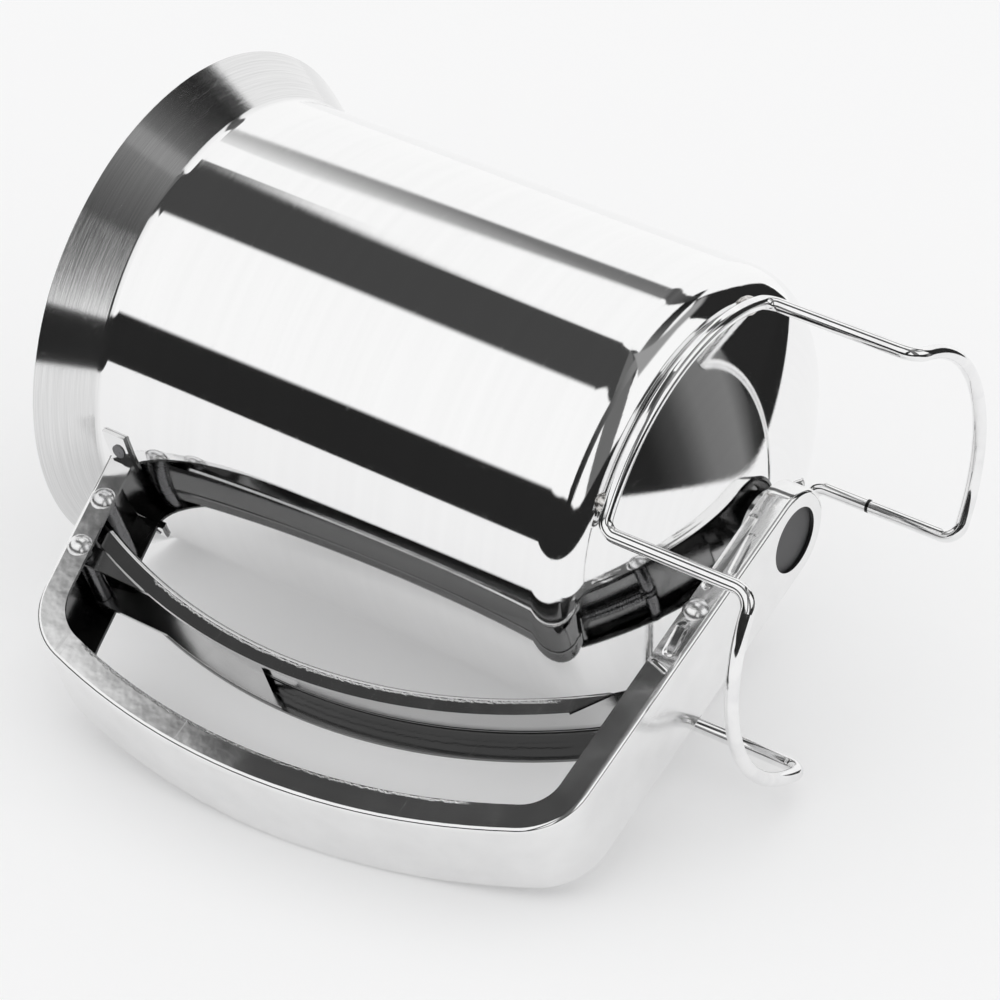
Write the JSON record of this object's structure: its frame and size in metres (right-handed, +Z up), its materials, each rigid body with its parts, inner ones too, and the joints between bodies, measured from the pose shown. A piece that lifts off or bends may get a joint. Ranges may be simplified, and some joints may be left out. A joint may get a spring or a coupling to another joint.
{
  "type": "batter dispenser",
  "caption": "Flared steel funnel on a bent wire stand, with a folded channel handle, a squeeze trigger and a slide valve under the spout.",
  "frame": {"origin": "on the funnel's axis, on the surface that the wire feet stand on", "axes": "+Z up through the mouth, +X from the axis to the handle, +Y to one side of the handle"},
  "size_m": [0.1608, 0.1148, 0.1713],
  "materials": {
    "funnel_steel": "polished, fine brushed on the flare and the bottom",
    "channel_steel": "satin, edges polished",
    "trigger_steel": "satin, edges polished",
    "slide_steel": "satin",
    "wire_steel": "bright drawn wire",
    "weld_steel": "as welded, lightly polished",
    "rivet_steel": "polished",
    "spring_steel": "drawn spring wire",
    "seal_rubber": "matt"
  },
  "bodies": {
    "base": {"vessel_shell": "funnel_steel", "outlet_nozzle": "funnel_steel", "seat_plate": "funnel_steel", "stand_wire": "wire_steel", "stand_welds": "weld_steel", "handle_channel": "channel_steel", "ear_welds": "weld_steel", "stop_rivet": "rivet_steel", "stop_sleeve": "rivet_steel", "pivot_rivet": "rivet_steel", "pivot_sleeve": "rivet_steel", "pivot_spacers": "rivet_steel", "arm_rivet": "rivet_steel", "slide_rollers": "rivet_steel", "return_spring": "spring_steel"},
    "trigger": {"trigger_lever": "trigger_steel", "hinge_bracket": "trigger_steel"},
    "slide": {"slide_plate": "slide_steel", "seal_pad": "seal_rubber"}
  },
  "joints": [
    {"name": "trigger_squeeze", "type": "hinge", "parent": "base", "child": "trigger", "pos_m": [0.0709, 0, 0.1492], "axis": [0, -1, 0], "range_deg": [0, 7.6], "stiffness_Nm_per_rad": 1.5, "springref_deg": -8.59},
    {"name": "valve_slide", "type": "slide", "parent": "base", "child": "slide", "axis": [1, 0, 0], "range_m": [0, 0.017]}
  ],
  "couplings": [
    {"joint": "valve_slide", "follows": "trigger_squeeze", "m_per_rad": 0.128}
  ]
}
